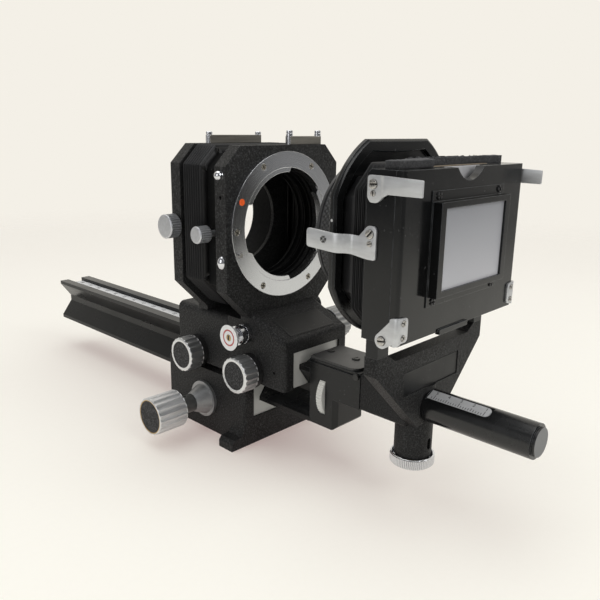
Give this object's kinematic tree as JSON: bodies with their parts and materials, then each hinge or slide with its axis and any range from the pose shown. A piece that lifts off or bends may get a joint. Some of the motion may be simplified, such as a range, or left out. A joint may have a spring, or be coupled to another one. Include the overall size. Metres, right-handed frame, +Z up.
{
  "type": "macro bellows unit",
  "caption": "Rail-mounted macro bellows with lens and camera standards, rack focusing base and a slide copier with an opal window on the front rod.",
  "frame": {"origin": "centre of the tripod socket's mouth, on the floor plane under the base block", "axes": "+Z up, +Y towards the camera along the rail, +X to the right seen from the camera"},
  "size_m": [0.0909, 0.314, 0.1395],
  "materials": {
    "base_block": "matte",
    "base_liner": "matte",
    "tripod_bush": "polished",
    "focus_flange": "satin",
    "focus_shaft": "satin",
    "focus_knob": "satin",
    "focus_knob_insert": "matte",
    "rail_bar": "matte",
    "rail_scale": "satin",
    "clamp_block": "matte",
    "clamp_top_plate": "satin",
    "clamp_screws": "polished",
    "copier_rod": "satin",
    "rod_scale": "satin",
    "clamp_wheel": "matte",
    "front_carriage": "matte",
    "front_liner": "matte",
    "front_standard": "matte",
    "lens_mount_ring": "polished",
    "ring_screws": "polished",
    "front_top_bar": "satin",
    "bellows_front_frame": "matte",
    "ball_stud": "polished",
    "lens_release_button": "polished",
    "lens_lock_pin": "polished",
    "cable_release_socket": "polished",
    "cable_release_disc": "satin",
    "front_drive_shaft": "satin",
    "front_knob": "satin",
    "front_knob_insert": "matte",
    "frame_lock_knob": "satin",
    "front_lock_knob": "satin",
    "stop_down_knob": "polished",
    "rear_carriage": "matte",
    "rear_liner": "matte",
    "rear_standard": "matte",
    "rear_top_bar": "satin",
    "camera_mount_ring": "polished",
    "camera_lock_knob": "satin",
    "rear_drive_shaft": "satin",
    "rear_knob": "satin",
    "rear_knob_insert": "matte",
    "rear_lock_knob": "satin",
    "bellows": "matte",
    "copier_casting": "matte",
    "posts": "matte",
    "rod_clamp_wheel": "polished",
    "stage_frame": "matte",
    "stage_screws": "polished",
    "door_clips": "satin",
    "latch_lever": "satin",
    "felt_pads": "satin",
    "stage_door": "matte",
    "opal_diffuser": "satin",
    "window_bezel": "matte",
    "door_screws": "polished",
    "hinge_straps": "satin",
    "copier_bellows": "matte",
    "head_plate": "matte",
    "lens_ring": "satin"
  },
  "bodies": {
    "base": {"base_block": "base_block", "base_liner": "base_liner", "tripod_bush": "tripod_bush", "focus_flange": "focus_flange"},
    "rail": {"rail_bar": "rail_bar", "rail_scale": "rail_scale", "clamp_block": "clamp_block", "clamp_top_plate": "clamp_top_plate", "clamp_screws": "clamp_screws", "copier_rod": "copier_rod", "rod_scale": "rod_scale"},
    "focus_drive": {"focus_shaft": "focus_shaft", "focus_knob": "focus_knob", "focus_knob_insert": "focus_knob_insert"},
    "thumbwheel": {"clamp_wheel": "clamp_wheel"},
    "lens_carriage": {"front_carriage": "front_carriage", "front_liner": "front_liner", "front_standard": "front_standard", "lens_mount_ring": "lens_mount_ring", "ring_screws": "ring_screws", "front_top_bar": "front_top_bar", "bellows_front_frame": "bellows_front_frame", "ball_stud": "ball_stud", "cable_release_socket": "cable_release_socket", "cable_release_disc": "cable_release_disc", "bellows": "bellows"},
    "lens_drive": {"front_drive_shaft": "front_drive_shaft", "front_knob": "front_knob", "front_knob_insert": "front_knob_insert"},
    "lens_carriage_lock": {"front_lock_knob": "front_lock_knob"},
    "stop_down": {"stop_down_knob": "stop_down_knob"},
    "frame_lock": {"frame_lock_knob": "frame_lock_knob"},
    "lens_release": {"lens_release_button": "lens_release_button"},
    "lens_pin": {"lens_lock_pin": "lens_lock_pin"},
    "camera_carriage": {"rear_carriage": "rear_carriage", "rear_liner": "rear_liner", "rear_standard": "rear_standard", "rear_top_bar": "rear_top_bar"},
    "camera_drive": {"rear_drive_shaft": "rear_drive_shaft", "rear_knob": "rear_knob", "rear_knob_insert": "rear_knob_insert"},
    "camera_carriage_lock": {"rear_lock_knob": "rear_lock_knob"},
    "camera_turn": {"camera_mount_ring": "camera_mount_ring"},
    "camera_lock": {"camera_lock_knob": "camera_lock_knob"},
    "copier": {"copier_casting": "copier_casting", "posts": "posts", "stage_frame": "stage_frame", "stage_screws": "stage_screws", "door_clips": "door_clips", "latch_lever": "latch_lever", "felt_pads": "felt_pads", "copier_bellows": "copier_bellows"},
    "rod_clamp": {"rod_clamp_wheel": "rod_clamp_wheel"},
    "door": {"stage_door": "stage_door", "opal_diffuser": "opal_diffuser", "window_bezel": "window_bezel", "door_screws": "door_screws", "hinge_straps": "hinge_straps"},
    "copier_head": {"head_plate": "head_plate"},
    "copier_ring": {"lens_ring": "lens_ring"}
  },
  "joints": [
    {"name": "rail_slide", "type": "slide", "parent": "base", "child": "rail", "axis": [0, 1, 0], "range_m": [-0.11, 0.029]},
    {"name": "focus_drive_turn", "type": "hinge", "parent": "base", "child": "focus_drive", "pos_m": [0, 0, 0.0153], "axis": [1, 0, 0], "range_deg": [-360, 1330]},
    {"name": "thumbwheel_turn", "type": "hinge", "parent": "rail", "child": "thumbwheel", "pos_m": [0, -0.0651, 0.0325], "axis": [0, 1, 0], "continuous": true},
    {"name": "lens_carriage_slide", "type": "slide", "parent": "rail", "child": "lens_carriage", "axis": [0, 1, 0], "range_m": [0, 0.02]},
    {"name": "lens_drive_turn", "type": "hinge", "parent": "lens_carriage", "child": "lens_drive", "pos_m": [-0.02, -0.03305, 0.0383], "axis": [1, 0, 0], "range_deg": [-240, 10]},
    {"name": "lens_carriage_lock_turn", "type": "hinge", "parent": "lens_carriage", "child": "lens_carriage_lock", "pos_m": [0.02, -0.041, 0.0525], "axis": [1, 0, 0], "range_deg": [0, 90]},
    {"name": "stop_down_turn", "type": "hinge", "parent": "lens_carriage", "child": "stop_down", "pos_m": [0.02, -0.0225, 0.057], "axis": [1, 0, 0], "range_deg": [0, 60]},
    {"name": "frame_lock_turn", "type": "hinge", "parent": "lens_carriage", "child": "frame_lock", "pos_m": [-0.033, -0.0212, 0.098], "axis": [1, 0, 0], "range_deg": [0, 180]},
    {"name": "lens_release_press", "type": "slide", "parent": "lens_carriage", "child": "lens_release", "axis": [1, 0, 0], "range_m": [0, 0.0012], "stiffness_N_per_m": 400, "springref_m": -0.0005},
    {"name": "lens_pin_draw", "type": "slide", "parent": "lens_carriage", "child": "lens_pin", "axis": [0, 1, 0], "range_m": [0, 0.0012]},
    {"name": "camera_carriage_slide", "type": "slide", "parent": "lens_carriage", "child": "camera_carriage", "axis": [0, 1, 0], "range_m": [0, 0.12], "deforming": ["bellows"]},
    {"name": "camera_drive_turn", "type": "hinge", "parent": "camera_carriage", "child": "camera_drive", "pos_m": [-0.02, 0.0041, 0.0383], "axis": [1, 0, 0], "range_deg": [-1400, 10]},
    {"name": "camera_carriage_lock_turn", "type": "hinge", "parent": "camera_carriage", "child": "camera_carriage_lock", "pos_m": [0.02, 0.0041, 0.0525], "axis": [1, 0, 0], "range_deg": [0, 90]},
    {"name": "camera_mount_turn", "type": "hinge", "parent": "camera_carriage", "child": "camera_turn", "pos_m": [0, 0.004, 0.1], "axis": [0, 1, 0], "continuous": true},
    {"name": "camera_lock_turn", "type": "hinge", "parent": "camera_carriage", "child": "camera_lock", "pos_m": [-0.033, -0.0002, 0.0992], "axis": [1, 0, 0], "range_deg": [0, 180]},
    {"name": "copier_slide", "type": "slide", "parent": "rail", "child": "copier", "axis": [0, 1, 0], "range_m": [-0.04, 0]},
    {"name": "rod_clamp_turn", "type": "hinge", "parent": "copier", "child": "rod_clamp", "pos_m": [0, -0.1044, 0.015], "axis": [0, 0, 1], "range_deg": [0, 180]},
    {"name": "door_swing", "type": "hinge", "parent": "copier", "child": "door", "pos_m": [0, -0.1153, 0.0758], "axis": [1, 0, 0], "range_deg": [0, 80]},
    {"name": "copier_head_slide", "type": "slide", "parent": "copier", "child": "copier_head", "axis": [0, 1, 0], "range_m": [-0.006, 0.03], "deforming": ["copier_bellows"]},
    {"name": "copier_ring_turn", "type": "hinge", "parent": "copier_head", "child": "copier_ring", "pos_m": [0, -0.08, 0.1035], "axis": [0, 1, 0], "continuous": true}
  ],
  "couplings": [
    {"joint": "focus_drive_turn", "follows": "rail_slide", "rad_per_m": -208.33},
    {"joint": "lens_drive_turn", "follows": "lens_carriage_slide", "rad_per_m": -200},
    {"joint": "camera_drive_turn", "follows": "camera_carriage_slide", "rad_per_m": -200},
    {"joint": "lens_pin_draw", "follows": "lens_release_press", "ratio": 1}
  ]
}
